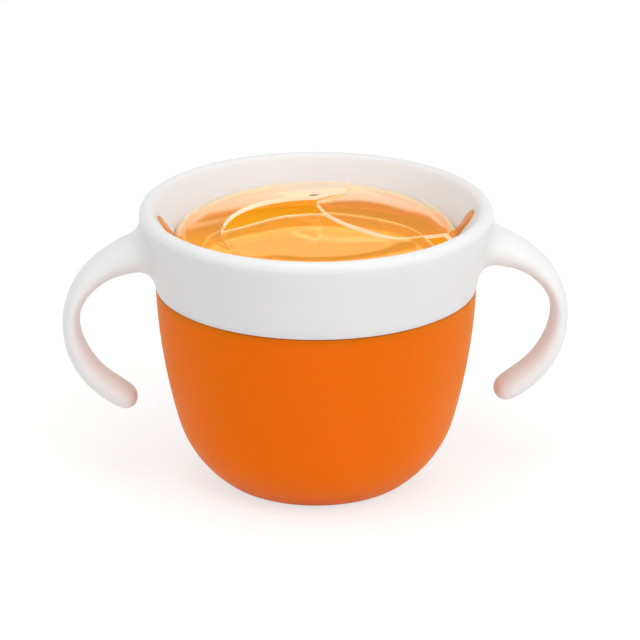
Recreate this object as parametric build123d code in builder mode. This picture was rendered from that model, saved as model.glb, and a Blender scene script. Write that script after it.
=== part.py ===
"""Toddler snack container: a round-bottomed bowl, a two-handled collar that pushes onto its neck,
and a soft domed insert in the collar's throat, slit into three flaps that a small hand pushes down.

Millimetres, +Z up. The origin is the centre of the base, and the handles lie along X.
"""

from build123d import *

import os
from math import asin, atan2, cos, degrees, hypot, radians, sin, sqrt, tan

os.makedirs("parts", exist_ok=True)

# ---------------------------------------------------------------- driving dimensions
# bowl
seam_height = 60.6  # from the table to the collar's lower edge
seam_radius = 47.4  # outside, where bowl and collar meet flush
bowl_wall = 2.0
side_lean = 2.0  # degrees inwards at the seam
side_sweep = 13.0  # degrees that the gently drawn-in side turns through
belly_radius, belly_sweep = 34.0, 38.0  # the round belly below it, radius and degrees
foot_rise = 1.54  # height at which the belly turns into the base's rounded corner
neck_setback = 2.35  # step from the bowl's outside to the neck's outside
rim_round = 0.6
seam_gap = 0.4  # shadow line between bowl and collar

# collar
collar_wall = 2.0
collar_height = 24.2  # from its lower edge to the crest of the lip
lip_overhang = 4.6  # the rolled lip beyond the seam
lip_roll = 2.3  # radius of the roll
throat_inset = 3.05  # the throat inside the neck's outside
throat_drop = 9.3  # from the crest of the lip to the throat's upper edge
throat_land = 2.4  # height of the throat's inner face
throat_bead = 2.2  # width of the flat seat under the throat
rib_count = 12
rib_thickness = 1.4
rib_height = 12.0
rib_inset = 1.4  # from the collar's lower edge

# handles: points of the centre line out from the root and up from it, with the oval's thickness
# and width at each; the root is on the collar's outside
handle_root_drop = 12.9  # from the crest of the lip
handle_stations = (
    (-5.8, 1.1, 13.4, 24.0),
    (0.7, 0.0, 12.2, 19.0),
    (7.0, -2.0, 10.0, 16.0),
    (13.3, -5.3, 8.0, 14.0),
    (18.8, -10.7, 6.3, 12.8),
    (22.2, -17.9, 5.1, 12.0),
    (22.4, -25.4, 5.6, 11.6),
    (19.5, -34.0, 6.9, 11.6),
    (14.5, -40.5, 7.5, 12.0),
    (7.8, -45.5, 7.4, 12.0),
)
handle_end = (4.0, -48.0)  # the middle of the rounded tip
tip_shares = (0.4, 0.7, 0.9, 0.985)  # of the last stretch, where the tip's shrinking ovals are drawn
handle_root_blend = 5.0  # fillet where a handle grows out of the collar

# soft insert
skin = 1.3
crown_height = 2.5  # middle of the dome above the crest of the lip
crown_lean = 8.0  # degrees at the middle, where the flaps' tips rise a little
shoulder_inset, shoulder_drop = 9.0, 6.4  # where the crown turns down: in from the throat, below its middle
bulge_inset, bulge_drop = 2.2, 9.2  # a point on the rounded shoulder, measured alike
flange_thickness = 1.9  # clamped between the throat's underside and the bowl's rim
flange_inset = 0.15  # the flange's edge inside the neck's outside
ear_length, ear_width, ear_neck = 7.8, 6.0, 3.4
ear_thickness, ear_sunk = 1.4, 0.6

# flaps: each hinge line's direction in degrees and its distance from the axis, and the free edges seen
# from above, as arcs through each three points, drawn on a dome of drawn_radius
drawn_radius = 41.7
cut_radius = 34.0  # the free edges end on this circle
left_angle, left_reach = 149.0, 24.0
left_inner_edge = ((-28.3, -11.0), (-25.1, -1.6), (-16.9, 4.0), (-8.0, 3.2), (0.0, -0.6))
left_outer_edge = ((0.0, -0.6), (5.4, 6.8), (10.1, 14.5), (11.0, 24.0), (9.6, 32.6))
right_angle, right_reach = 20.0, 25.0
right_inner_edge = ((29.6, -16.2), (23.4, -19.4), (15.7, -17.2), (7.0, -11.8), (0.9, -1.6))
front_angle, front_reach = 267.0, 26.0
front_left_edge = ((-27.2, -10.6), (-16.8, -6.0), (0.0, -2.5))
front_right_edge = ((0.0, -2.5), (12.9, -6.5), (25.5, -11.6))
front_corners = ((-30.2, -15.6), (29.2, -17.6))
right_sag, front_sag = 2.0, 13.0  # degrees that the lower flaps hang below the dome
slit = 0.7
back_slit_lean = 45.0  # degrees from X, where the slit between left and right flap leaves the middle

# clearances
push_fit = 0.25  # collar's ribs to the bowl's neck
soft_gap = 0.3  # the insert to what it sits in and on

# ---------------------------------------------------------------- sizes that follow
belly_end, side_end = radians(side_lean + side_sweep + belly_sweep), radians(side_lean + side_sweep)
belly_drop = belly_radius * (sin(belly_end) - sin(side_end))
side_drop = seam_height - seam_gap - foot_rise - belly_drop
side_radius = side_drop / (sin(side_end) - sin(radians(side_lean)))
neck_radius = seam_radius - neck_setback
lip_radius = seam_radius + lip_overhang
throat_radius = neck_radius - throat_inset
crest_height = seam_height + collar_height
lip_centre = (lip_radius - lip_roll, crest_height - lip_roll)
throat_top = crest_height - throat_drop
throat_bottom = throat_top - throat_land
dome_top = crest_height + crown_height
dome_radius = throat_radius - soft_gap
flange_top = throat_bottom - soft_gap
flange_bottom = flange_top - flange_thickness
rim_height = flange_bottom - soft_gap
flange_radius = neck_radius - flange_inset
shoulder_radius = throat_radius - shoulder_inset
cut_scale = dome_radius / drawn_radius
flap_radius = cut_radius * cut_scale
hinge_height = dome_top - shoulder_drop - skin - soft_gap
slit_shift = slit / sin(radians(back_slit_lean))


# ---------------------------------------------------------------- bowl
with BuildPart() as bowl:
    with BuildSketch(Plane.XZ):
        with BuildLine():
            lean = radians(side_lean)
            side = JernArc(
                (seam_radius, seam_height - seam_gap), (-sin(lean), -cos(lean)), side_radius, -side_sweep
            )
            belly = JernArc(side @ 1, side % 1, belly_radius, -belly_sweep)
            turn_left = 90 - side_lean - side_sweep - belly_sweep
            corner_radius = (belly @ 1).Y / (1 - cos(radians(turn_left)))
            corner = JernArc(belly @ 1, belly % 1, corner_radius, -turn_left)
            Polyline(
                corner @ 1,
                (0, 0),
                (0, rim_height),
                (neck_radius, rim_height),
                (neck_radius, seam_height - seam_gap),
                side @ 0,
            )
        make_face()
    revolve(axis=Axis.Z)
    rim_face = bowl.faces().sort_by(Axis.Z)[-1]
    offset(amount=-bowl_wall, openings=rim_face)
    fillet(bowl.edges().group_by(Axis.Z)[-1], rim_round)
bowl.part.label = "bowl"

# ---------------------------------------------------------------- collar
# The funnel leans so that it runs from the throat's edge to a tangent of the lip's roll.
funnel_reach = hypot(lip_centre[0] - throat_radius, lip_centre[1] - throat_top)
funnel_angle = degrees(
    atan2(lip_centre[1] - throat_top, lip_centre[0] - throat_radius) + asin(lip_roll / funnel_reach)
)
funnel_way = Vector(cos(radians(funnel_angle)), sin(radians(funnel_angle)))
funnel_up = Vector(-funnel_way.Y, funnel_way.X)
funnel_top = Vector(*lip_centre) + funnel_up * lip_roll

# The outside runs from the lower edge to a tangent of the same roll.
side_reach = hypot(lip_centre[0] - seam_radius, lip_centre[1] - seam_height)
side_angle = atan2(lip_centre[0] - seam_radius, lip_centre[1] - seam_height) + asin(lip_roll / side_reach)
side_out = Vector(cos(side_angle), -sin(side_angle))
side_top = Vector(*lip_centre) + side_out * lip_roll
side_foot = Vector(seam_radius, seam_height)
lip_crest = Vector(lip_centre[0], crest_height)

# The handles grow out of that side.
root_height = crest_height - handle_root_drop
handle_root = Vector(seam_radius + (root_height - seam_height) * tan(side_angle), 0, root_height)
station_points = [handle_root + Vector(out, 0, up) for out, up, _, _ in handle_stations]
centre_line = Spline(*station_points, handle_root + Vector(handle_end[0], 0, handle_end[1]))

with BuildPart() as handle:
    ovals = [
        (centre_line.param_at_point(point), thickness, width)
        for point, (_, _, thickness, width) in zip(station_points, handle_stations)
    ]
    last_share, tip_thickness, tip_width = ovals[-1]
    for step in tip_shares:
        shrink = sqrt(1 - step * step)
        share = last_share + (1 - last_share) * step
        ovals.append((share, tip_thickness * shrink, tip_width * shrink))
    for share, thickness, width in ovals:
        with BuildSketch(Plane(origin=centre_line @ share, x_dir=(0, 1, 0), z_dir=centre_line % share)):
            Ellipse(width / 2, thickness / 2)
    loft()

# The ears lie along the funnel, so one plane on its surface places both them and their notches.
ear_plane = Plane(
    origin=(throat_radius, 0, throat_top),
    x_dir=(funnel_way.X, 0, funnel_way.Y),
    z_dir=(funnel_up.X, 0, funnel_up.Y),
)


def ear_shape(plane, grow, root, height):
    """The leaf-shaped ear on both sides, drawn on the plane and raised by height."""
    with BuildPart() as leaf:
        with BuildSketch(plane):
            with Locations((ear_length - ear_width / 2, 0)):
                Circle(ear_width / 2 + grow)
            with BuildLine():
                Polyline(
                    (-root, -ear_neck / 2 - grow),
                    (ear_length - ear_width / 2, -ear_width / 2 - grow),
                    (ear_length - ear_width / 2, ear_width / 2 + grow),
                    (-root, ear_neck / 2 + grow),
                    close=True,
                )
            make_face()
        extrude(amount=height)
        mirror(about=Plane.YZ)
    return leaf.part


notch = ear_shape(ear_plane.offset(-ear_sunk - soft_gap / 2), soft_gap / 2, collar_wall, 2 * collar_wall)
ears = ear_shape(ear_plane.offset(-ear_sunk), 0, skin, ear_thickness)

# The ribs centre the collar on the bowl's neck.
rib_foot = seam_height + rib_inset
rib_radius = neck_radius + push_fit
rib_back = side_top.X - lip_roll
with BuildPart() as rib:
    with BuildSketch(Plane.XZ):
        with BuildLine():
            Polyline(
                (rib_radius, rib_foot),
                (seam_radius - collar_wall / 2, rib_foot),
                (rib_back, rib_foot + rib_height),
                (rib_radius, rib_foot + rib_height),
                close=True,
            )
        make_face()
    extrude(amount=rib_thickness / 2, both=True)

with BuildPart() as collar:
    with BuildSketch(Plane.XZ):
        with BuildLine():
            outside = Line(side_foot, side_top)
            roll = ThreePointArc(side_top, lip_crest, funnel_top)
            funnel = Line(funnel_top, (throat_radius, throat_top))
            Polyline(funnel @ 1, (throat_radius, seam_height), side_foot)
        make_face()
    revolve(axis=Axis.Z)
    add(handle.part)
    mirror(handle.part, about=Plane.YZ)
    roots = collar.edges().filter_by(GeomType.BSPLINE)
    roots = roots.filter_by_position(Axis.X, -lip_radius, -seam_radius) + roots.filter_by_position(
        Axis.X, seam_radius, lip_radius
    )
    fillet(roots, handle_root_blend)

    # the hollow underneath, left open downwards; its cut starts at the axis, inside the throat
    inner_foot = Vector(seam_radius - collar_wall / cos(side_angle), seam_height)
    groove = Vector(*lip_centre) + side_out * (lip_roll - collar_wall)
    funnel_under = Vector(*lip_centre) + funnel_up * (lip_roll - collar_wall)
    bead_radius = throat_radius + throat_bead
    bead_top = funnel_under - funnel_way * ((funnel_under.X - bead_radius) / funnel_way.X)
    with BuildSketch(Plane.XZ):
        with BuildLine():
            Polyline(
                (0, throat_bottom),
                (bead_radius, throat_bottom),
                bead_top,
                funnel_under,
                groove,
                inner_foot,
                (0, seam_height),
                close=True,
            )
        make_face()
    revolve(axis=Axis.Z, mode=Mode.SUBTRACT)

    with PolarLocations(0, rib_count, start_angle=180 / rib_count):
        add(rib.part)

    # the two notches in the funnel for the insert's ears
    add(notch, mode=Mode.SUBTRACT)
collar.part.label = "collar"


# ---------------------------------------------------------------- soft insert
def below(curve, share):
    """The point one skin under the dome's outside, at that share of one of its curves."""
    return curve @ share + (curve % share).rotate(Axis.Z, -90) * skin


with BuildPart() as cap:
    with BuildSketch(Plane.XZ):
        with BuildLine():
            crown = TangentArc(
                (0, dome_top),
                (shoulder_radius, dome_top - shoulder_drop),
                tangent=(cos(radians(crown_lean)), -sin(radians(crown_lean))),
            )
            bulge = (throat_radius - bulge_inset, dome_top - bulge_drop)
            base = (dome_radius, throat_top)
            shoulder = Spline(crown @ 1, bulge, base, tangents=(crown % 1, (0, -1)))
            bulge_share = shoulder.param_at_point(bulge)
            crown_under = TangentArc((0, dome_top - skin), below(crown, 1), tangent=crown % 0)
            shoulder_under = Spline(
                crown_under @ 1,
                below(shoulder, bulge_share),
                below(shoulder, 1),
                tangents=(crown % 1, (0, -1)),
            )
            Line(crown_under @ 0, crown @ 0)
            Polyline(
                shoulder @ 1,
                (dome_radius, flange_top),
                (flange_radius, flange_top),
                (flange_radius, flange_bottom),
                (dome_radius - skin, flange_bottom),
                shoulder_under @ 1,
            )
        make_face()
    revolve(axis=Axis.Z)


def hinge_axis(angle, reach):
    """The line that a flap swings about, just under the dome's skin; turning about it opens the flap."""
    foot = Vector(reach * cut_scale, 0, hinge_height).rotate(Axis.Z, angle)
    return Axis(foot, Vector(0, -1, 0).rotate(Axis.Z, angle))


def hinge_end(angle, reach, side):
    """Where a hinge line meets the circle that the cuts end on."""
    half = sqrt(flap_radius**2 - (reach * cut_scale) ** 2)
    return Vector(reach * cut_scale, side * half).rotate(Axis.Z, angle)


def on_dome(points):
    """Points of the drawn dome on the real one."""
    return [Vector(*point) * cut_scale for point in points]


def arcs(points):
    """Arcs through each three points of a free edge, end to end."""
    return [ThreePointArc(*points[i : i + 3]) for i in range(0, len(points) - 2, 2)]


left_inner = on_dome(left_inner_edge)
left_outer = on_dome(left_outer_edge)
left_hinge = [hinge_end(left_angle, left_reach, side) for side in (-1, 1)]
with BuildSketch() as left_outline:
    with BuildLine():
        arcs(left_inner)
        arcs(left_outer)
        RadiusArc(left_outer[-1], left_hinge[0], flap_radius)
        Polyline(*left_hinge, left_inner[0])
    make_face()

right_inner = on_dome(right_inner_edge)
right_outer = [point + Vector(slit_shift, 0) for point in left_outer]
right_hinge = [hinge_end(right_angle, right_reach, side) for side in (1, -1)]
with BuildSketch() as right_outline:
    with BuildLine():
        arcs(right_inner)
        Line(right_inner[-1], right_outer[0])
        arcs(right_outer)
        RadiusArc(right_outer[-1], right_hinge[0], -flap_radius)
        Polyline(*right_hinge, right_inner[0])
    make_face()

front_left, front_right = on_dome(front_left_edge), on_dome(front_right_edge)
left_corner, right_corner = on_dome(front_corners)
front_hinge = [hinge_end(front_angle, front_reach, side) for side in (1, -1)]
with BuildSketch() as front_outline:
    with BuildLine():
        arcs(front_left)
        arcs(front_right)
        Line(front_right[-1], right_corner)
        RadiusArc(right_corner, front_hinge[0], flap_radius)
        Line(*front_hinge)
        RadiusArc(front_hinge[1], left_corner, flap_radius)
        Line(left_corner, front_left[0])
    make_face()


with BuildPart() as flap_ring:
    add(cap.part)
    add(ears)
    with BuildSketch():
        Circle(flap_radius + slit)
        hinges = ((left_angle, left_reach), (right_angle, right_reach), (front_angle, front_reach))
        for angle, reach in hinges:
            with PolarLocations(reach * cut_scale + slit, 1, start_angle=angle):
                beyond = (Align.MIN, Align.CENTER)
                Rectangle(flap_radius, 2 * flap_radius, align=beyond, mode=Mode.SUBTRACT)
    extrude(amount=2 * dome_top, mode=Mode.SUBTRACT)
flap_ring.part.label = "flap_ring"


def flap(outline, angle, reach, sag, label):
    """One flap: the part of the dome inside its outline, hanging by its sag from the hinge line."""
    with BuildPart() as piece:
        with BuildSketch():
            add(outline.sketch)
        extrude(amount=2 * dome_top)
        add(cap.part, mode=Mode.INTERSECT)
    hung = piece.part.rotate(hinge_axis(angle, reach), sag)
    hung.label = label
    return hung


flaps = (
    flap(left_outline, left_angle, left_reach, 0, "flap_left"),
    flap(right_outline, right_angle, right_reach, right_sag, "flap_right"),
    flap(front_outline, front_angle, front_reach, front_sag, "flap_front"),
)

# ---------------------------------------------------------------- one STEP file for each piece
for piece in (bowl.part, collar.part, flap_ring.part, *flaps):
    export_step(piece, f"parts/{piece.label}.step")
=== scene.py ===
"""Toddler snack container: an orange bowl, a white two-handled collar and a clear soft insert in
three overlapping flaps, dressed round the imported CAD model. Metres, +Z up, base on the floor."""

import bpy
import numpy as np
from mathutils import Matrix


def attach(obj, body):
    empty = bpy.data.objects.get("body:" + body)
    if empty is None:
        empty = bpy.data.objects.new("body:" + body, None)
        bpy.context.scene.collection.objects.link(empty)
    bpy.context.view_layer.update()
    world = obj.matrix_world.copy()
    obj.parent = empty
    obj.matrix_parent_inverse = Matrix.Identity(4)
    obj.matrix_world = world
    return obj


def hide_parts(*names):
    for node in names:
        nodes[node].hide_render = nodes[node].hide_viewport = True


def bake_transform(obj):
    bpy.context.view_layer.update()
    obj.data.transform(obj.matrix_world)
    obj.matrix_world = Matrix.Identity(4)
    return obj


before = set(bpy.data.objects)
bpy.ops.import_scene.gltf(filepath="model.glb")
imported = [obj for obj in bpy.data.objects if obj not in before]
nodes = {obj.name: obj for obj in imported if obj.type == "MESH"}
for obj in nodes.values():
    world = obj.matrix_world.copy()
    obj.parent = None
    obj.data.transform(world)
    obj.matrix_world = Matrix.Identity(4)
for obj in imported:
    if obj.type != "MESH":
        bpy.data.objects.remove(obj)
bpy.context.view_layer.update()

# ---------------------------------------------------------------- the studio
# A white sweep that the camera sees as plain white, a soft white sky, a soft box on the right, one
# nearly overhead and a very weak one on the left. The camera stands a little left of the front and
# looks down at 20.8 degrees.


def aimed(thing, place, target):
    """Stands a camera or lamp at place, looking along its own -Z towards target."""
    way = np.array(target, float) - np.array(place, float)
    yaw = np.arctan2(way[0], way[1])
    pitch = np.arctan2(np.hypot(way[0], way[1]), -way[2])
    thing.location = place
    thing.rotation_euler = (pitch, 0.0, -yaw)


def at_angles(azimuth, elevation, distance, centre):
    """The point that distance from centre, azimuth degrees round from the front and elevation up."""
    a, e = np.radians(azimuth), np.radians(elevation)
    way = np.array([np.sin(a) * np.cos(e), -np.cos(a) * np.cos(e), np.sin(e)])
    return np.array(centre, float) + distance * way


view_azimuth, view_elevation, view_distance = -3.4, 20.8, 1.04
view_side = 0.00116  # the container stands a little left of the picture's middle
right_hand = np.array([np.cos(np.radians(view_azimuth)), np.sin(np.radians(view_azimuth)), 0.0])
view_centre = np.array([0.0, 0.0, 0.04866]) + view_side * right_hand
camera_data = bpy.data.cameras.new("photo_camera")
camera_data.sensor_width = 36.0
camera_data.lens = 197.1
camera_data.clip_end = 20.0
camera = bpy.data.objects.new("photo_camera", camera_data)
bpy.context.scene.collection.objects.link(camera)
aimed(camera, at_angles(view_azimuth, view_elevation, view_distance, view_centre), view_centre)
bpy.context.scene.camera = camera

lamp_target = (0.0, 0.0, 0.05)


def lamp(name, azimuth, elevation, distance, size, watts):
    """A square soft box of that size, turned to the container."""
    data = bpy.data.lights.new(name, "AREA")
    data.shape = "SQUARE"
    data.size = size
    data.energy = watts
    box = bpy.data.objects.new(name, data)
    bpy.context.scene.collection.objects.link(box)
    aimed(box, at_angles(azimuth, elevation, distance, lamp_target), lamp_target)


lamp("key_right", azimuth=38, elevation=34, distance=0.9, size=0.6, watts=2.3)
lamp("fill_left", azimuth=-70, elevation=35, distance=1.0, size=0.6, watts=0.1)
lamp("top", azimuth=-30, elevation=74, distance=0.9, size=0.6, watts=1.95)
bpy.context.scene.view_settings.view_transform = "Standard"


def seen_share(tree):
    """1 for the rays that the eye, a reflection or a clear piece sees with, and 0 for lighting ones."""
    path = tree.nodes.new("ShaderNodeLightPath")
    share = path.outputs["Is Camera Ray"]
    for kind in ("Is Glossy Ray", "Is Transmission Ray"):
        either = tree.nodes.new("ShaderNodeMath")
        either.operation = "MAXIMUM"
        tree.links.new(share, either.inputs[0])
        tree.links.new(path.outputs[kind], either.inputs[1])
        share = either.outputs[0]
    return share


def mixed(tree, share, first, second):
    """A Mix Shader from first, at share 0, to second, at share 1."""
    mix = tree.nodes.new("ShaderNodeMixShader")
    tree.links.new(share, mix.inputs["Fac"])
    tree.links.new(first, mix.inputs[1])
    tree.links.new(second, mix.inputs[2])
    return mix.outputs["Shader"]


world = bpy.data.worlds.new("studio_sky")
world.use_nodes = True
bpy.context.scene.world = world
sky = world.node_tree
sky_light = sky.nodes["Background"]
sky_light.inputs["Color"].default_value = (1.0, 1.0, 1.0, 1.0)
sky_light.inputs["Strength"].default_value = 0.66
sky_white = sky.nodes.new("ShaderNodeBackground")
sky_white.inputs["Color"].default_value = (1.0, 1.0, 1.0, 1.0)

# Reflections and clear pieces see the white sweep up to about 15 degrees, and above it a dim ceiling.
white_up_to, dim_from = 12.5, 17  # degrees above the horizon
ceiling_strength = 0.12
sky_way = sky.nodes.new("ShaderNodeTexCoord")
sky_height = sky.nodes.new("ShaderNodeSeparateXYZ")
sky_dim = sky.nodes.new("ShaderNodeMapRange")
sky_dim.interpolation_type = "SMOOTHSTEP"
sky_dim.inputs["From Min"].default_value = np.sin(np.radians(white_up_to))
sky_dim.inputs["From Max"].default_value = np.sin(np.radians(dim_from))
sky_dim.inputs["To Min"].default_value = 1.0
sky_dim.inputs["To Max"].default_value = ceiling_strength
sky_sweep = sky.nodes.new("ShaderNodeBackground")
sky.links.new(sky_way.outputs["Generated"], sky_height.inputs[0])
sky.links.new(sky_height.outputs["Z"], sky_dim.inputs["Value"])
sky.links.new(sky_dim.outputs["Result"], sky_sweep.inputs["Strength"])
sky_sweep.inputs["Color"].default_value = (1.0, 1.0, 1.0, 1.0)
sky_eye = sky.nodes.new("ShaderNodeLightPath")
sky_seen = mixed(sky, seen_share(sky), sky_light.outputs[0], sky_sweep.outputs[0])
sky_shown = mixed(sky, sky_eye.outputs["Is Camera Ray"], sky_seen, sky_white.outputs[0])
sky.links.new(sky_shown, sky.nodes["World Output"].inputs["Surface"])

# To the eye the floor is a faint lit white over a white glow, so that a soft shadow is left on it.
floor_material = bpy.data.materials.new("studio_floor")
floor_material.use_nodes = True
floor_tree = floor_material.node_tree
floor_lit = floor_tree.nodes["Principled BSDF"]
floor_lit.inputs["Base Color"].default_value = (0.86, 0.86, 0.86, 1.0)
floor_lit.inputs["Roughness"].default_value = 0.9
floor_faint = floor_tree.nodes.new("ShaderNodeBsdfDiffuse")
floor_faint.inputs["Color"].default_value = (0.42, 0.42, 0.42, 1.0)
floor_glow = floor_tree.nodes.new("ShaderNodeEmission")
floor_glow.inputs["Strength"].default_value = 0.66
floor_white = floor_tree.nodes.new("ShaderNodeAddShader")
floor_tree.links.new(floor_faint.outputs[0], floor_white.inputs[0])
floor_tree.links.new(floor_glow.outputs[0], floor_white.inputs[1])
floor_seen = mixed(floor_tree, seen_share(floor_tree), floor_lit.outputs[0], floor_white.outputs[0])
floor_tree.links.new(floor_seen, floor_tree.nodes["Material Output"].inputs["Surface"])

floor_reach = 3.0
side = np.array([-1.0, 1.0]) * floor_reach
corners = np.array([[x, y, 0.0] for y in side for x in side])
floor_mesh = bpy.data.meshes.new("studio_floor")
floor_mesh.from_pydata(corners.tolist(), [], [(0, 1, 3, 2)])
floor_mesh.materials.append(floor_material)
floor = bpy.data.objects.new("studio_floor", floor_mesh)
bpy.context.scene.collection.objects.link(floor)


# ---------------------------------------------------------------- the bowl
# Injection-moulded polypropylene, tinted orange through and through, with a fine matt texture outside.
# Its wall is thin enough for light to glow through. That light is painted on its inside as a paler colour
# and a glow.

cloud_shade = 0.97  # a plastic's darker clouds, as a share of its colour
polish_spread = 0.04  # how far its roughness strays with the clouds


def plastic(name, colour, roughness, grain, grain_scale):
    """A moulded plastic: one colour with a faint cloudy change, and a fine even grain in the surface."""
    made = bpy.data.materials.new(name)
    made.use_nodes = True
    tree = made.node_tree
    skin = tree.nodes["Principled BSDF"]
    place = tree.nodes.new("ShaderNodeTexCoord")
    cloud = tree.nodes.new("ShaderNodeTexNoise")
    cloud.inputs["Scale"].default_value = 28.0
    cloud.inputs["Detail"].default_value = 3.0
    tint = tree.nodes.new("ShaderNodeMix")
    tint.data_type = "RGBA"
    tint.inputs["A"].default_value = (*[c * cloud_shade for c in colour], 1.0)
    tint.inputs["B"].default_value = (*colour, 1.0)
    fine = tree.nodes.new("ShaderNodeTexNoise")
    fine.inputs["Scale"].default_value = grain_scale
    fine.inputs["Detail"].default_value = 2.0
    relief = tree.nodes.new("ShaderNodeBump")
    relief.inputs["Strength"].default_value = grain
    relief.inputs["Distance"].default_value = 0.0001
    polish = tree.nodes.new("ShaderNodeMapRange")
    polish.inputs["To Min"].default_value = roughness - polish_spread
    polish.inputs["To Max"].default_value = roughness + polish_spread
    tree.links.new(place.outputs["Object"], cloud.inputs["Vector"])
    tree.links.new(place.outputs["Object"], fine.inputs["Vector"])
    tree.links.new(cloud.outputs["Fac"], tint.inputs["Factor"])
    tree.links.new(tint.outputs["Result"], skin.inputs["Base Color"])
    tree.links.new(cloud.outputs["Fac"], polish.inputs["Value"])
    tree.links.new(polish.outputs["Result"], skin.inputs["Roughness"])
    tree.links.new(fine.outputs["Fac"], relief.inputs["Height"])
    tree.links.new(relief.outputs["Normal"], skin.inputs["Normal"])
    return made


bowl_plastic = plastic("bowl_orange", (0.75, 0.18, 0.002), roughness=0.5, grain=0.2, grain_scale=2600.0)
bowl_skin = bowl_plastic.node_tree.nodes["Principled BSDF"]
bowl_skin.inputs["Subsurface Weight"].default_value = 1.0
bowl_skin.inputs["Subsurface Radius"].default_value = (1.0, 0.6, 0.12)
bowl_skin.inputs["Subsurface Scale"].default_value = 0.005
bowl_skin.inputs["IOR"].default_value = 1.49
bowl_skin.inputs["Specular IOR Level"].default_value = 0.08


def finish_node(name, material):
    """Gives a CAD node its finish in every one of its material slots."""
    for place in nodes[name].material_slots:
        place.material = material


# Painted light through the thin wall: the faces that look at the bowl's middle are painted paler and
# yellower, with a painted glow that is strongest below the seam. Above the seam, where the collar shades
# the wall, there is painted shade.
seam = 0.0606  # the height of the collar's lower edge
fade_below, fade_above = 0.0015, 0.001  # the change at the seam starts and ends this far from it
bowl_middle = 0.03  # low enough for the ledge round the neck to count as outside
lit_colour, shaded_colour = (0.8, 0.45, 0.11), (0.66, 0.41, 0.03)
painted_lit_glow, painted_shaded_glow = (0.5, 0.345, 0.18), (0.2, 0.12, 0.005)
bowl_tree = bowl_plastic.node_tree
bowl_place = bowl_tree.nodes.new("ShaderNodeTexCoord")
from_middle = bowl_tree.nodes.new("ShaderNodeVectorMath")
from_middle.operation = "SUBTRACT"
from_middle.inputs[1].default_value = (0.0, 0.0, bowl_middle)
outwards = bowl_tree.nodes.new("ShaderNodeVectorMath")
outwards.operation = "DOT_PRODUCT"
inside = bowl_tree.nodes.new("ShaderNodeMath")
inside.operation = "LESS_THAN"
inside.inputs[1].default_value = 0.0
bowl_tree.links.new(bowl_place.outputs["Object"], from_middle.inputs[0])
bowl_tree.links.new(from_middle.outputs[0], outwards.inputs[0])
bowl_tree.links.new(bowl_place.outputs["Normal"], outwards.inputs[1])
bowl_tree.links.new(outwards.outputs["Value"], inside.inputs[0])
bowl_height = bowl_tree.nodes.new("ShaderNodeSeparateXYZ")
shaded = bowl_tree.nodes.new("ShaderNodeMapRange")
shaded.interpolation_type = "SMOOTHSTEP"
shaded.inputs["From Min"].default_value = seam - fade_below
shaded.inputs["From Max"].default_value = seam + fade_above
bowl_tree.links.new(bowl_place.outputs["Object"], bowl_height.inputs[0])
bowl_tree.links.new(bowl_height.outputs["Z"], shaded.inputs["Value"])


def colour_mix(tree, share, first, second):
    """A colour from first, at share 0, to second, at share 1; each is a socket or a colour."""
    mix = tree.nodes.new("ShaderNodeMix")
    mix.data_type = "RGBA"
    tree.links.new(share, mix.inputs["Factor"])
    for name, colour in (("A", first), ("B", second)):
        if isinstance(colour, tuple):
            mix.inputs[name].default_value = (*colour, 1.0)
        else:
            tree.links.new(colour, mix.inputs[name])
    return mix.outputs["Result"]


outside_colour = bowl_skin.inputs["Base Color"].links[0].from_socket
painted_inside_colour = colour_mix(bowl_tree, shaded.outputs["Result"], lit_colour, shaded_colour)
wall_colour_with_painted_light = colour_mix(bowl_tree, inside.outputs[0], outside_colour, painted_inside_colour)
painted_wall_glow = colour_mix(bowl_tree, shaded.outputs["Result"], painted_lit_glow, painted_shaded_glow)
# The inside faces take the painted light and shade, in both their colour and their glow.
bowl_tree.links.new(wall_colour_with_painted_light, bowl_skin.inputs["Base Color"])
bowl_tree.links.new(painted_wall_glow, bowl_skin.inputs["Emission Color"])
bowl_tree.links.new(inside.outputs[0], bowl_skin.inputs["Emission Strength"])
finish_node("bowl", bowl_plastic)

# ---------------------------------------------------------------- the collar
# One white polypropylene moulding: the funnel with its rolled lip, and the two open-ended handles.
# It pushes down over the bowl's neck and keeps the insert's seat between itself and the bowl's rim.

collar_plastic = plastic("collar_white", (0.88, 0.88, 0.88), roughness=0.42, grain=0.12, grain_scale=3400.0)
collar_skin = collar_plastic.node_tree.nodes["Principled BSDF"]
collar_skin.inputs["Subsurface Weight"].default_value = 0.6
collar_skin.inputs["Subsurface Radius"].default_value = (1.0, 0.95, 0.92)
collar_skin.inputs["Subsurface Scale"].default_value = 0.004
collar_skin.inputs["IOR"].default_value = 1.49
collar_skin.inputs["Specular IOR Level"].default_value = 0.3
finish_node("collar", collar_plastic)

# ---------------------------------------------------------------- the soft insert
# A clear orange elastomer, moulded as one dome 1.3 mm thick and cut by three curved slits from near its
# middle to its shoulder. The left flap lies highest, the right one under it, and the front one hangs.

MM = 0.001  # the insert's sizes are in millimetres, and its meshes are written in metres
CLEAR, CUT, JOINT, SATIN = 0, 1, 2, 3  # its finishes, in the order of its material slots
skin_thickness = 1.3
cut_centre = np.array([0.0, -1.0])  # where the three cuts meet, seen from above
sheet_radius = 41.0  # where the sheets pass into the seat

# The uncut dome's outside, from its top to the seat.
profile_radii = np.array([0.0, 8.0, 17.8, 29.7, 32.6, 35.6, 38.0, 39.8, 41.0])
profile_heights = np.array([87.3, 86.05, 84.2, 81.65, 81.0, 80.05, 79.0, 77.95, 76.6])


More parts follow.
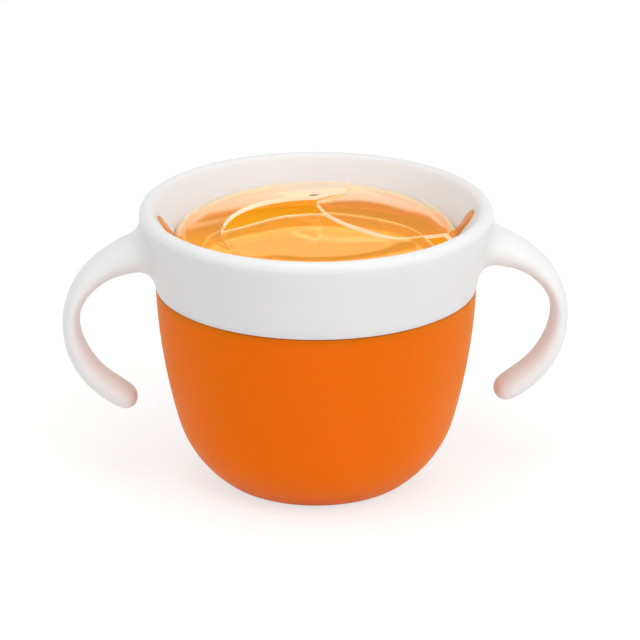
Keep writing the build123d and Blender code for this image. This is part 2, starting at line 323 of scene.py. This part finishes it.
def through(known, values, wanted):
    """A natural cubic spline through values at known, read at wanted."""
    known, values, wanted = (np.asarray(a, float) for a in (known, values, wanted))
    gap = np.diff(known)
    rise = np.diff(values) / gap
    count = len(known)
    rows = np.eye(count)
    right = np.zeros(count)
    inner = np.arange(1, count - 1)
    rows[inner, inner - 1] = gap[:-1]
    rows[inner, inner] = 2 * (gap[:-1] + gap[1:])
    rows[inner, inner + 1] = gap[1:]
    right[inner] = 6 * (rise[1:] - rise[:-1])
    bend = np.linalg.solve(rows, right)
    i = np.clip(np.searchsorted(known, wanted) - 1, 0, count - 2)
    ahead, behind = known[i + 1] - wanted, wanted - known[i]
    step = gap[i]
    return (
        bend[i] * ahead**3 / (6 * step)
        + bend[i + 1] * behind**3 / (6 * step)
        + (values[i] / step - bend[i] * step / 6) * ahead
        + (values[i + 1] / step - bend[i + 1] * step / 6) * behind
    )


def rim_distance(turn):
    """How far the sheet's rim is from the cuts' centre, in the direction turn."""
    along = cut_centre[0] * np.cos(turn) + cut_centre[1] * np.sin(turn)
    return -along + np.sqrt(along**2 + sheet_radius**2 - cut_centre @ cut_centre)


def cut(points, turn_near):
    """A slit as (share of the way from the cuts' centre to the rim, direction), kept near turn_near."""
    away = np.array(points, float) - cut_centre
    turn = np.arctan2(away[:, 1], away[:, 0])
    turn = turn + 2 * np.pi * np.round((np.radians(turn_near) - turn) / (2 * np.pi))
    share = np.hypot(away[:, 0], away[:, 1]) / rim_distance(turn)
    order = np.argsort(share)
    return share[order], turn[order]


def direction_at(slit, share):
    """The slit's direction at each share of the way out, held level beyond its first and last points."""
    known, turn = slit
    return through(known, turn, np.clip(share, known[0], known[-1]))


# The slits as points seen from above, read from the photo's cut edges and reflections.
left_slit = cut(
    [
        (-24.7, -29.8),
        (-26.7, -23.2),
        (-28.2, -15.05),
        (-27.35, -8.5),
        (-24.4, -1.0),
        (-20.8, 2.4),
        (-16.9, 4.0),
        (-10.4, 3.6),
        (-4.6, 1.5),
    ],
    190,
)
back_slit = cut([(4.3, 5.6), (7.1, 9.3), (10.1, 14.5), (10.6, 19.7), (10.9, 24.3), (11.5, 36.5)], 60)
right_slit = cut(
    [
        (2.5, -7.6),
        (5.2, -10.8),
        (8.8, -13.6),
        (12.4, -15.6),
        (15.7, -17.3),
        (19.4, -18.9),
        (22.8, -19.5),
        (26.6, -18.6),
        (30.3, -16.6),
        (34.0, -13.7),
        (37.1, -10.2),
    ],
    -40,
)
front_edge_left = [(-32.5, -14.6), (-28.1, -9.2), (-16.8, -4.9), (-7.5, -1.7)]
front_edge_right = [(10.9, -4.4), (18.9, -7.9), (25.9, -11.6), (30.4, -17.0)]
front_edge_x, front_edge_y = np.array(front_edge_left + [tuple(cut_centre)] + front_edge_right).T
front_slit_left = cut([(-34.4, -19.5)] + front_edge_left, 195)
front_slit_right = cut(front_edge_right + [(33.6, -20.6)], -20)


def dome_height(x, y):
    """The uncut dome's outside: its profile turned about the axis."""
    return through(profile_radii, profile_heights, np.minimum(np.hypot(x, y), sheet_radius))


sheet_columns = 121
slope_step = 0.01  # how far apart a sheet's height is read to get its slope


def sheet(name, start, end, height, shares, sides):
    """A flap with the stretch of shoulder that it hangs from, as a grid of rays and rings.

    Point (share, part) lies that share of the way from the cuts' centre to the rim, in the direction
    that divides start(share) to end(share) by part. height(x, y) lifts it. The underside is the same
    grid moved one skin against the surface's normal, and walls close the edges.
    """
    parts = np.linspace(0.0, 1.0, sheet_columns)
    share, part = np.meshgrid(shares, parts, indexing="ij")
    low, high = start(shares)[:, None], end(shares)[:, None]
    turn = low + (high - low) * part
    reach = share * rim_distance(turn)
    x = cut_centre[0] + reach * np.cos(turn)
    y = cut_centre[1] + reach * np.sin(turn)
    z = height(x, y)
    slope_x = (height(x + slope_step, y) - height(x - slope_step, y)) / (2 * slope_step)
    slope_y = (height(x, y + slope_step) - height(x, y - slope_step)) / (2 * slope_step)
    normal = np.stack([-slope_x, -slope_y, np.ones_like(z)], -1)
    normal /= np.linalg.norm(normal, axis=-1, keepdims=True)
    top = np.stack([x, y, z], -1)
    under = top - skin_thickness * normal
    return closed_sheet(name, top, under, sides)


def closed_sheet(name, top, under, sides):
    """A mesh from two matching grids, with a wall round their shared border. Faces point outwards.

    sides says what the wall is along the first column, last row, last column and first row, for all of
    its faces or for each: CUT where the moulding is cut, JOINT where it passes into the next piece.
    """
    rows, columns = top.shape[:2]
    under_step = rows * columns  # from a point's number to that of the point under it
    number = np.arange(under_step).reshape(rows, columns)
    a, b, c, d = number[:-1, :-1], number[1:, :-1], number[1:, 1:], number[:-1, 1:]
    upper = np.stack([a, b, c, d], -1).reshape(-1, 4)
    lower = upper[:, ::-1] + under_step
    borders = (number[:, 0], number[-1, :], number[::-1, -1], number[0, ::-1])
    near = np.concatenate([border[:-1] for border in borders])
    ahead = np.concatenate([border[1:] for border in borders])
    walls = [np.broadcast_to(side, len(border) - 1) for side, border in zip(sides, borders)]
    kind = np.concatenate(walls)
    wall = np.stack([ahead, near, near + under_step, ahead + under_step], -1)
    points = np.concatenate([top.reshape(-1, 3), under.reshape(-1, 3)]) * MM
    made = mesh_piece(name, points, np.concatenate([upper, lower, wall]))
    finish = np.concatenate([np.full(2 * len(upper), CLEAR), kind])
    made.data.polygons.foreach_set("material_index", finish)

    # Cut edges get rounded, and joint edges stay crisp, so that nothing shows where the pieces meet.
    def pairs(first, second):
        """One number for an edge, whichever of its two ends comes first."""
        return np.minimum(first, second) * len(points) + np.maximum(first, second)

    ends = np.empty(2 * len(made.data.edges), int)
    made.data.edges.foreach_get("vertices", ends)
    edges = pairs(ends[::2], ends[1::2])
    rims = np.concatenate([pairs(near, ahead), pairs(near + under_step, ahead + under_step)])
    kinds = np.concatenate([kind, kind])
    rounded = np.isin(edges, rims[kinds == CUT])
    crisp = np.isin(edges, rims[kinds == JOINT])
    weight = made.data.attributes.new("bevel_weight_edge", "FLOAT", "EDGE")
    weight.data.foreach_set("value", rounded.astype(float))
    sharp = made.data.attributes.new("sharp_edge", "BOOLEAN", "EDGE")
    sharp.data.foreach_set("value", crisp)
    return made


def mesh_piece(name, points, faces):
    """An object at the origin with its place in its mesh."""
    mesh = bpy.data.meshes.new(name)
    mesh.from_pydata(points.tolist(), [], faces.tolist())
    mesh.update()
    made = bpy.data.objects.new(name, mesh)
    bpy.context.scene.collection.objects.link(made)
    return made


def soft_edges(piece, width):
    """Rounds the sheet's cut edges a little, as a moulded edge is, and shades the rest smooth."""
    piece.data.shade_smooth()
    rounding = piece.modifiers.new("moulded_edge", "BEVEL")
    rounding.width = width * MM
    rounding.segments = 3
    rounding.limit_method = "WEIGHT"
    rounding.harden_normals = True


def ramp(value, low, high):
    """0 below low, 1 above high, and smooth between."""
    t = np.clip((value - low) / (high - low), 0.0, 1.0)
    return t * t * (3 - 2 * t)


def along(x, y, azimuth):
    """How far a point lies from the axis in the direction azimuth."""
    return x * np.cos(np.radians(azimuth)) + y * np.sin(np.radians(azimuth))


def inside_shoulder(x, y):
    """1 over the flaps, 0 over the shoulder that they share, and smooth between."""
    return 1 - ramp(np.hypot(x, y), 33.0, 40.0)


# How far each flap leaves the dome. In the formulas below, a ramp's last two numbers are where it
# starts and ends, in millimetres.
left_tip_lift, left_arm_lift, right_tip_drop = 0.6, 0.5, 1.1
left_azimuth, right_azimuth = 150, 25  # about where each of the two hangs from the shoulder


def left_height(x, y):
    """The dome, lifted towards the left flap's tip, and where its arm passes over the front flap."""
    over_front = left_arm_lift * ramp(-y, 0.0, 12.0) * inside_shoulder(x, y)
    return dome_height(x, y) + left_tip_lift * ramp(-along(x, y, left_azimuth), -22.0, 2.0) + over_front


def right_height(x, y):
    """The dome, sunk towards the right flap's tip so that it passes under the left flap."""
    return dome_height(x, y) - right_tip_drop * ramp(-along(x, y, right_azimuth), -24.0, -2.0)


front_level, level_softness = 80.7, 0.4
curl_height, curl_width = 1.9, 10.0
front_half_length = 33.0
arm_clearance = 1.0


def front_height(x, y):
    """The dome, levelled off at the front flap's height and curled up along its free edge.

    The level part is the smooth lesser of the dome and a level plane. It is a millimetre lower where
    the left flap's arm passes over it. The curl grows from nothing to its full height over its width,
    in from the free edge, and dies away towards the flap's two ends.
    """
    gap = dome_height(x, y) - front_level
    flat = front_level + 0.5 * (gap - np.sqrt(gap**2 + level_softness))
    free_edge = through(front_edge_x, front_edge_y, np.clip(x, front_edge_x[0], front_edge_x[-1]))
    ends = np.clip(1 - (x / front_half_length) ** 2, 0.0, 1.0)
    under_arm = arm_clearance * ramp(-x, 10.0, 26.0) * inside_shoulder(x, y)
    return flat - under_arm + curl_height * ends * ramp(y - free_edge, -curl_width, 0.5)


# The skin is clear and tinted. Lamps shine straight through it, so that it casts no dark shadow inside.
clear_soft = bpy.data.materials.new("insert_clear_orange")
clear_soft.use_nodes = True
clear_tree = clear_soft.node_tree
clear_skin = clear_tree.nodes["Principled BSDF"]
clear_skin.inputs["Base Color"].default_value = (1.0, 0.87, 0.5, 1.0)
clear_skin.inputs["Transmission Weight"].default_value = 1.0
clear_skin.inputs["Roughness"].default_value = 0.03
clear_skin.inputs["IOR"].default_value = 1.48
# A faint painted glow, peach, lightens the whole skin.
clear_skin.inputs["Emission Color"].default_value = (1.0, 0.6, 0.25, 1.0)
clear_skin.inputs["Emission Strength"].default_value = 0.05
lamp_light = clear_tree.nodes.new("ShaderNodeBsdfTransparent")
clear_path = clear_tree.nodes.new("ShaderNodeLightPath")
shadow_ray = clear_path.outputs["Is Shadow Ray"]
clear_seen = mixed(clear_tree, shadow_ray, clear_skin.outputs[0], lamp_light.outputs[0])
clear_tree.links.new(clear_seen, clear_tree.nodes["Material Output"].inputs["Surface"])

# A cut edge is satin. It is painted pale and given a painted glow, a painted highlight along its whole
# length.
cut_edge = plastic("insert_cut_edge", (1.0, 0.86, 0.7), roughness=0.35, grain=0.1, grain_scale=3000.0)
cut_skin = cut_edge.node_tree.nodes["Principled BSDF"]
cut_skin.inputs["Transmission Weight"].default_value = 0.1
cut_skin.inputs["Subsurface Weight"].default_value = 0.5
cut_skin.inputs["Subsurface Radius"].default_value = (1.0, 0.7, 0.3)
cut_skin.inputs["Subsurface Scale"].default_value = 0.002
# The painted highlight's glow.
cut_skin.inputs["Emission Color"].default_value = (1.0, 0.64, 0.42, 1.0)
cut_skin.inputs["Emission Strength"].default_value = 0.24

# Where one piece of the moulding passes into the next there is nothing to see.
unseen_joint = bpy.data.materials.new("insert_joint")
unseen_joint.use_nodes = True
joint_tree = unseen_joint.node_tree
joint_tree.nodes.remove(joint_tree.nodes["Principled BSDF"])
joint_clear = joint_tree.nodes.new("ShaderNodeBsdfTransparent")
joint_tree.links.new(joint_clear.outputs[0], joint_tree.nodes["Material Output"].inputs["Surface"])


def dress(piece):
    """The insert's first three finishes, in the order that CLEAR, CUT and JOINT count."""
    for material in (clear_soft, cut_edge, unseen_joint):
        piece.data.materials.append(material)


# Each flap starts just off the cuts' centre, and its rows lie closer together over the shoulder.
sheet_shares = np.concatenate([np.linspace(0.012, 0.8, 52), np.linspace(0.81, 1.0, 40)])
free_flap = (CUT, JOINT, CUT, CUT)
slit_half = 0.004  # radians from a slit's middle to its side

# The left flap has an arm: the long strip of shoulder past arm_turn, from where the slit crosses it.
arm_turn = np.radians(197.5)
slit_shares = np.linspace(0.5, 1.0, 501)
arm_start = slit_shares[np.argmax(direction_at(left_slit, slit_shares) - slit_half > arm_turn)]
edge_rounding = 0.2

left_flap = sheet(
    "insert_left_flap",
    lambda share: direction_at(back_slit, share) + slit_half,
    lambda share: np.minimum(direction_at(left_slit, share) - slit_half, arm_turn),
    left_height,
    sheet_shares,
    (CUT, JOINT, np.where(sheet_shares[:0:-1] > arm_start, JOINT, CUT), CUT),
)
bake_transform(left_flap)
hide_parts("flap_left")

arm_shares = np.linspace(arm_start, 1.0, 60)
left_arm = sheet(
    "insert_left_arm",
    lambda share: np.full_like(share, arm_turn),
    lambda share: np.maximum(direction_at(left_slit, share) - slit_half, arm_turn + 0.001),
    left_height,
    arm_shares,
    (JOINT, JOINT, CUT, CUT),
)
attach(left_arm, "collar")

right_flap = sheet(
    "insert_right_flap",
    lambda share: direction_at(right_slit, share) + slit_half,
    lambda share: direction_at(back_slit, share) - slit_half,
    right_height,
    sheet_shares,
    free_flap,
)
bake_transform(right_flap)
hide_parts("flap_right")

front_flap = sheet(
    "insert_front_flap",
    lambda share: direction_at(front_slit_left, share),
    lambda share: direction_at(front_slit_right, share) + 2 * np.pi,
    front_height,
    sheet_shares,
    free_flap,
)
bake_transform(front_flap)
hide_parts("flap_front")

for piece in (left_flap, left_arm, right_flap, front_flap):
    soft_edges(piece, edge_rounding)
    dress(piece)

# The seat: the dome's shoulder goes down through the throat and out under its edge as a flat flange,
# which the collar presses on the bowl's rim. It is the same moulding, and satin below the shoulder.
seat_outside = [(41.0, 76.6), (41.45, 76.0), (41.7, 75.2), (41.7, 72.8), (44.9, 72.8), (44.9, 70.9)]
seat_inside = [(40.4, 70.9), (40.4, 74.6), (40.15, 75.4), (39.75, 76.0)]


def turned(name, outline, count):
    """A closed outline of (radius, height) points carried round the axis."""
    outline = np.array(outline, float)
    turn = np.linspace(0, 2 * np.pi, count, endpoint=False)
    radius, level = outline[:, 0], outline[:, 1]
    points = np.stack(
        [
            np.cos(turn)[:, None] * radius,
            np.sin(turn)[:, None] * radius,
            np.broadcast_to(level, (count, len(outline))),
        ],
        -1,
    )
    number = np.arange(count * len(outline)).reshape(count, -1)
    over, on = np.roll(number, -1, 0), np.roll(number, -1, 1)
    both = np.roll(over, -1, 1)
    faces = np.stack([number, on, both, over], -1).reshape(-1, 4)
    return mesh_piece(name, points.reshape(-1, 3) * MM, faces)


seat_count = 256
seat_satin = plastic("insert_seat_satin", (0.75, 0.42, 0.04), roughness=0.4, grain=0.1, grain_scale=3000.0)
seat_skin = seat_satin.node_tree.nodes["Principled BSDF"]
seat_skin.inputs["Subsurface Weight"].default_value = 0.6
seat_skin.inputs["Subsurface Radius"].default_value = (1.0, 0.5, 0.15)
seat_skin.inputs["Subsurface Scale"].default_value = 0.004
# A faint painted glow stands in for light coming through the thick ring.
seat_skin.inputs["Emission Color"].default_value = (1.0, 0.42, 0.03, 1.0)
seat_skin.inputs["Emission Strength"].default_value = 0.08
seat_outline = seat_outside + seat_inside
seat_finish = [CLEAR, CLEAR] + [SATIN] * (len(seat_outline) - 3) + [JOINT]
seat = turned("insert_seat", seat_outline, seat_count)
seat.data.shade_smooth()
seat.data.polygons.foreach_set("material_index", np.tile(seat_finish, seat_count))
seat.data.set_sharp_from_angle(angle=np.radians(35))
dress(seat)
seat.data.materials.append(seat_satin)
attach(seat, "collar")
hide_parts("flap_ring")

# The ears: a soft leaf at each side, laid in a notch of the funnel, to turn the insert and pull it out.
# They are the same moulding too, thick enough to look opaque, and run on down into the seat's wall.
funnel_lean = np.radians(55.0)  # how steeply the funnel falls to the throat
ear_long, ear_wide, ear_neck, ear_thick, ear_sunk = 7.8, 6.0, 3.4, 1.4, 0.6
ear_root = np.array([42.0, 75.5])  # the throat's upper edge, radius and height
ear_start = -0.25  # share of its length at which it begins, below its root
ear_side, ear_swell = 0.55, 0.45  # shares of its thickness: at its sides, and added along its middle
ear_fit, ear_blunt = 0.999, 0.02  # just inside its outline, and never quite a point at its end
ear_rows, ear_columns = 40, 17


def ear_half_width(share):
    """The leaf's half width: from its neck at 0 it widens to its round end, a half circle, at 1."""
    round_start = 1 - ear_wide / 2 / ear_long
    blade = ear_neck / 2 + (ear_wide - ear_neck) / 2 * ramp(share, 0.0, round_start)
    tip = ear_wide / 2 * np.sqrt(np.clip(1 - ((share - round_start) / (1 - round_start)) ** 2, 0.0, 1.0))
    return np.where(share < round_start, blade, tip)


def ear(name, side):
    """A leaf on the funnel's slope: point (share, across) lies share of its length up the slope.

    Across it, the top swells in half an ellipse, lower where the leaf is narrower than its neck, and
    the underside is flat.
    """
    shares, parts = np.linspace(ear_start, 1.0, ear_rows), np.linspace(-1, 1, ear_columns)
    share, across = np.meshgrid(shares, parts, indexing="ij")
    along_slope = share * ear_long
    width = ear_half_width(np.maximum(share, 0.0)) * ear_fit + ear_blunt
    y = across * width
    arch = np.sqrt(np.clip(1 - across**2, 0.0, 1.0)) * np.minimum(1.0, width / (ear_neck / 2))
    top = ear_thick * (ear_side + ear_swell * arch) - ear_sunk
    way = np.array([np.cos(funnel_lean), np.sin(funnel_lean)])
    up = np.array([-np.sin(funnel_lean), np.cos(funnel_lean)])
    sheets = []
    for lift in (top, np.full_like(top, -ear_sunk)):
        radius = ear_root[0] + along_slope * way[0] + lift * up[0]
        level = ear_root[1] + along_slope * way[1] + lift * up[1]
        sheets.append(np.stack([side * radius, side * y, level], -1))
    only_finish = (0, 0, 0, 0)
    return closed_sheet(name, *sheets, only_finish)


ear_soft = plastic("insert_ear_orange", (0.9, 0.34, 0.08), roughness=0.22, grain=0.1, grain_scale=3000.0)
ear_skin = ear_soft.node_tree.nodes["Principled BSDF"]
ear_skin.inputs["Subsurface Weight"].default_value = 0.6
ear_skin.inputs["Subsurface Radius"].default_value = (1.0, 0.5, 0.15)
ear_skin.inputs["Subsurface Scale"].default_value = 0.003
ear_skin.inputs["Transmission Weight"].default_value = 0.15
# A faint painted glow.
ear_skin.inputs["Emission Color"].default_value = (1.0, 0.3, 0.06, 1.0)
ear_skin.inputs["Emission Strength"].default_value = 0.04

for name, side in (("insert_ear_right", 1), ("insert_ear_left", -1)):
    piece = ear(name, side)
    piece.data.shade_smooth()
    piece.data.set_sharp_from_angle(angle=np.radians(50))
    piece.data.materials.append(ear_soft)
    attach(piece, "collar")
